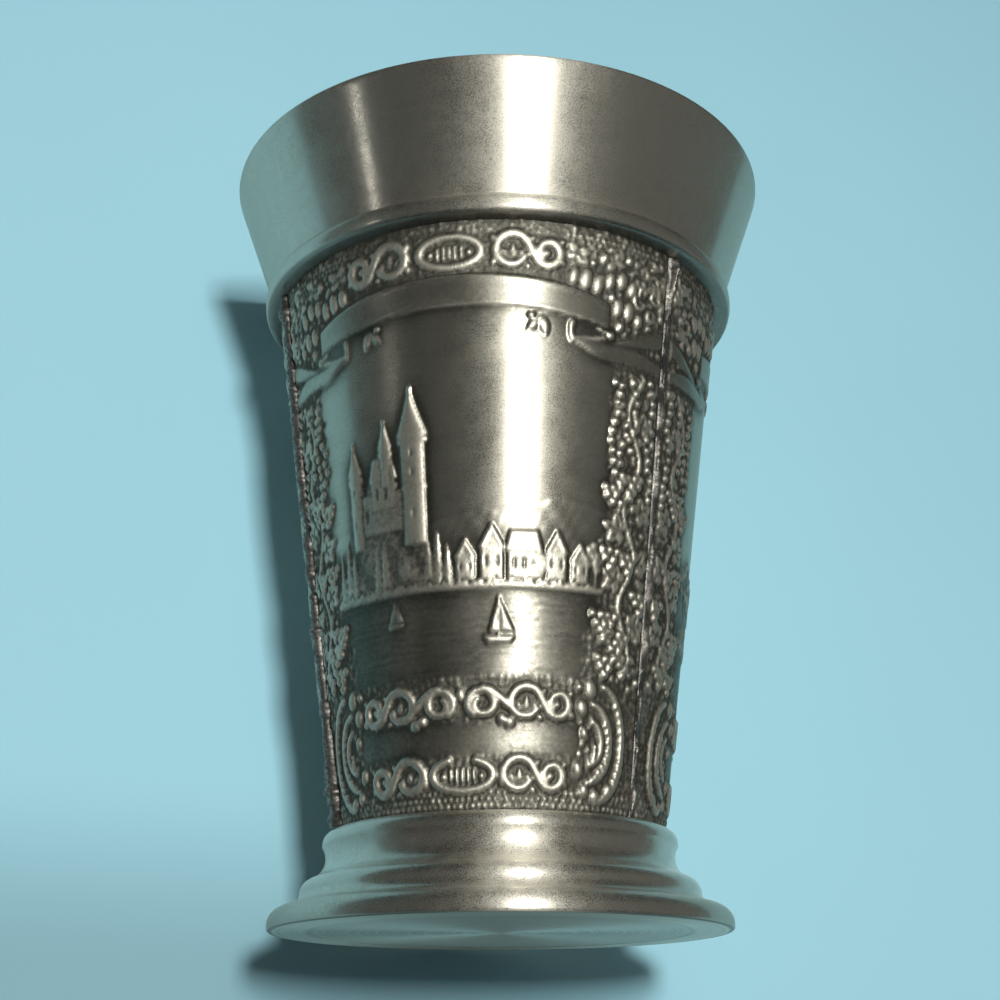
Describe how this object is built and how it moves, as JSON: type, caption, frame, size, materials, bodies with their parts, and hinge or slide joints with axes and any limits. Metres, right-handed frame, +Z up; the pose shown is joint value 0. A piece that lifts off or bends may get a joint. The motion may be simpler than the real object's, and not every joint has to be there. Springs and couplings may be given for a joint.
{
  "type": "shot cup",
  "caption": "Small tapered metal drinking cup with a flared turned rim, a band of cast relief panels joined by solder seams, and a moulded foot.",
  "frame": {"origin": "centre of the foot's underside, on the standing plane", "axes": "+Z up along the cup's axis; the front panel faces -Y, turned a few degrees towards -X"},
  "size_m": [0.0436, 0.0436, 0.06],
  "materials": {
    "turned_pewter": "lathe-turned pewter, fine lines round the cup, satin polish",
    "antique_pewter": "cast pewter, blackened in the recesses and rubbed bright on the high points",
    "solder": "rough raised solder, dull grey with a faint brown tint",
    "floor_pewter": "turned pewter disc with concentric tool marks"
  },
  "bodies": {
    "root": {"rim_collar": "turned_pewter", "relief_panel_front": "antique_pewter", "relief_panel_right": "antique_pewter", "relief_panel_left": "antique_pewter", "seam_left": "solder", "seam_right": "solder", "seam_back": "solder", "foot_ring": "turned_pewter", "base_disc": "floor_pewter"}
  },
  "joints": []
}
